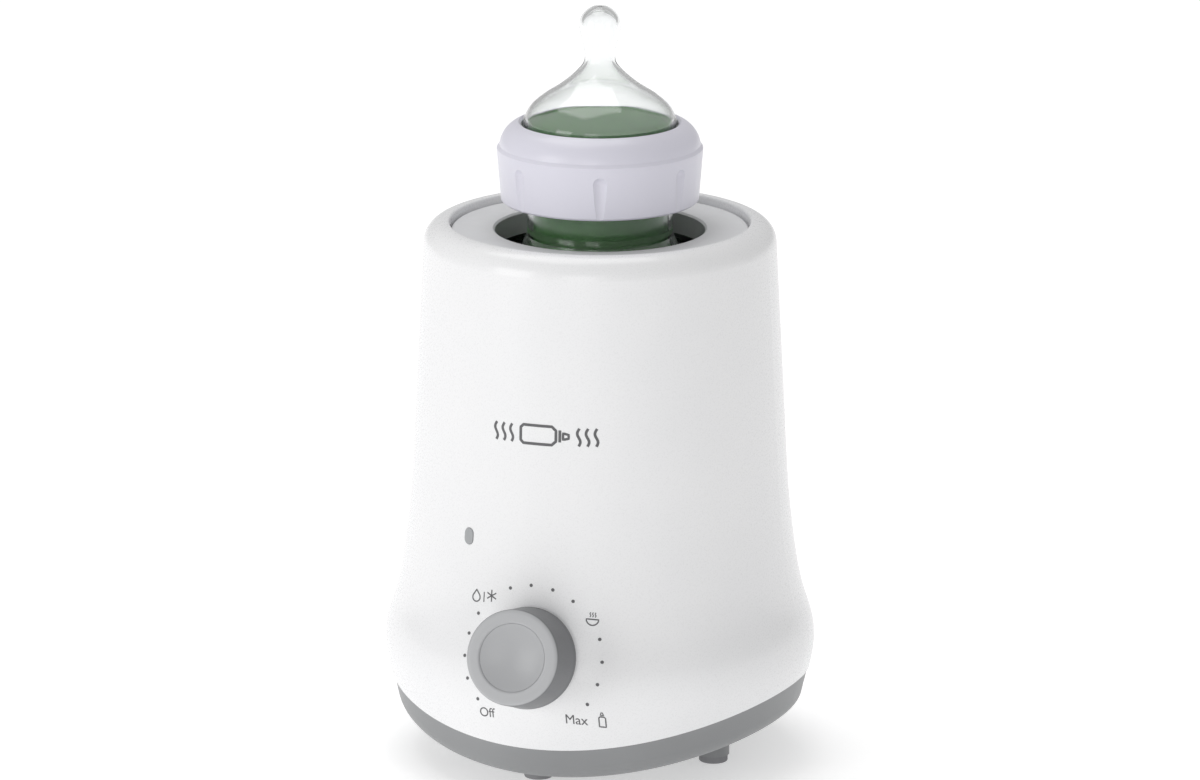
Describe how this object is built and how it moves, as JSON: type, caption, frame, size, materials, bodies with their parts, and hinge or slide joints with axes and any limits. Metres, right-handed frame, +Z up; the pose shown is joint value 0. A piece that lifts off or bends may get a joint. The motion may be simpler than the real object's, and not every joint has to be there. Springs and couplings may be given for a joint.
{
  "type": "bottle warmer",
  "caption": "Round flared bottle warmer with a rotary heat control, a water chamber under a recessed top ring and a lift-out baby bottle.",
  "frame": {"origin": "on the surface that the feet stand on, under the axis of the round body", "axes": "+Z up along the body's axis; -Y is the front, where the knob is; +X is to the right seen from the front"},
  "size_m": [0.1404, 0.1661, 0.247],
  "materials": {
    "white_shell": "smooth satin-gloss moulded plastic, white",
    "light_grey_shell": "fine-textured moulded plastic, light grey",
    "grey_shell": "fine-textured moulded plastic, mid grey",
    "grey_knob": "satin moulded plastic, mid grey",
    "grey_cap": "satin moulded plastic, lighter grey",
    "silicone_seal": "food-grade silicone, matt",
    "clear_silicone": "clear soft silicone",
    "drawn_aluminium": "drawn sheet, satin",
    "cast_aluminium": "cast, matt",
    "liner_plastic": "natural heat-resistant plastic",
    "screw_steel": "zinc-plated steel",
    "spring_steel": "bare spring steel",
    "heater_ceramic": "heating element in amber film",
    "black_plastic": "black moulded plastic",
    "turned_brass": "turned brass, nickel-free",
    "shaft_plastic": "white engineering plastic",
    "lens_plastic": "smoked clear plastic",
    "lamp_epoxy": "amber epoxy",
    "circuit_board": "green solder mask",
    "terminal_plastic": "blue moulded plastic",
    "capacitor_plastic": "ochre potted case",
    "fuse_glass": "clear glass tube",
    "red_insulation": "fibre-sleeved insulation",
    "dark_insulation": "soft insulation",
    "foot_rubber": "moulded rubber, matt",
    "clear_bottle": "clear bottle wall, polished",
    "collar_plastic": "smooth moulded plastic, pale lavender white"
  },
  "bodies": {
    "warmer": {"base_screws": "screw_steel", "base_shell": "grey_shell", "board_fuse": "fuse_glass", "board_screws": "screw_steel", "chamber_seal": "silicone_seal", "chamber_sleeve": "liner_plastic", "clip_screws": "screw_steel", "control_board": "circuit_board", "control_body": "black_plastic", "control_bush": "turned_brass", "control_chip": "black_plastic", "control_cover": "black_plastic", "control_leads": "dark_insulation", "control_nut": "turned_brass", "control_terminals": "turned_brass", "control_washer": "spring_steel", "cord_gland": "foot_rubber", "cutoff_clip": "spring_steel", "cutoff_leads": "red_insulation", "film_capacitor": "capacitor_plastic", "foot_pad_back": "foot_rubber", "foot_pad_front": "foot_rubber", "foot_pad_left": "foot_rubber", "foot_pad_right": "foot_rubber", "fuse_clips": "spring_steel", "heat_sink": "drawn_aluminium", "heater_clamp": "spring_steel", "heater_clamp_screws": "screw_steel", "heater_leads": "red_insulation", "heater_plate": "cast_aluminium", "heating_chamber": "drawn_aluminium", "indicator_lamp": "lamp_epoxy", "indicator_lens": "lens_plastic", "lamp_board": "circuit_board", "lamp_holder": "black_plastic", "lamp_leads": "dark_insulation", "outer_housing": "white_shell", "power_triac": "black_plastic", "ptc_heater": "heater_ceramic", "sensor_clip": "spring_steel", "sensor_leads": "dark_insulation", "sleeve_screws": "screw_steel", "temperature_sensor": "spring_steel", "terminal_block": "terminal_plastic", "thermal_cutoff": "spring_steel", "top_ring": "light_grey_shell"},
    "knob": {"control_knob": "grey_knob", "control_shaft": "shaft_plastic", "knob_cap": "grey_cap", "wiper_rotor": "black_plastic"},
    "bottle": {"baby_bottle": "clear_bottle", "bottle_collar": "collar_plastic", "teat": "clear_silicone"}
  },
  "joints": [
    {"name": "knob_turn", "type": "hinge", "parent": "warmer", "child": "knob", "pos_m": [0, -0.0688, 0.0481], "axis": [0, 0.9613, -0.2756], "range_deg": [0, 300]},
    {"name": "bottle_lift", "type": "slide", "parent": "warmer", "child": "bottle", "axis": [0, 0, 1], "range_m": [0, 0.12]}
  ]
}
